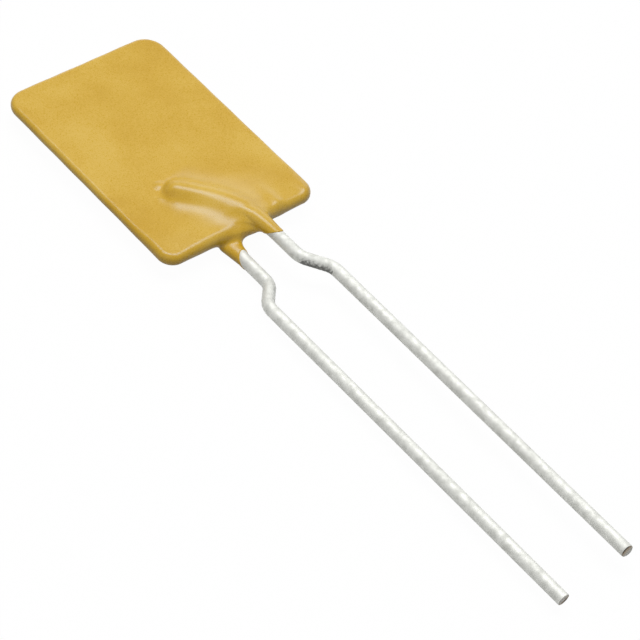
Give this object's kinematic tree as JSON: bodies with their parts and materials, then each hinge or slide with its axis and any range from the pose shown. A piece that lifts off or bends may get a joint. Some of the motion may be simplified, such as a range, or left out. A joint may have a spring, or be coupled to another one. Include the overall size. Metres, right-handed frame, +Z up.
{
  "type": "resettable fuse",
  "caption": "Radial-leaded resettable fuse: a thin polymer chip between foil electrodes, with soldered and kinked wire leads under a dipped golden epoxy coat, to limit fault current.",
  "frame": {"origin": "middle of the fuse's box, on the surface that it lies on", "axes": "+X along the leads to their cut ends, +Y across the chip, +Z up through the front face"},
  "size_m": [0.0478, 0.0116, 0.0024],
  "materials": {
    "polymer": "matte carbon-filled polymer",
    "foil": "matte nickel foil",
    "solder": "dull solder",
    "lead": "satin tin plate",
    "coat": "semi-gloss dipped epoxy"
  },
  "bodies": {
    "root": {"polymer_core": "polymer", "front_electrode": "foil", "back_electrode": "foil", "front_solder": "solder", "back_solder": "solder", "front_lead": "lead", "back_lead": "lead", "coating": "coat"}
  },
  "joints": []
}
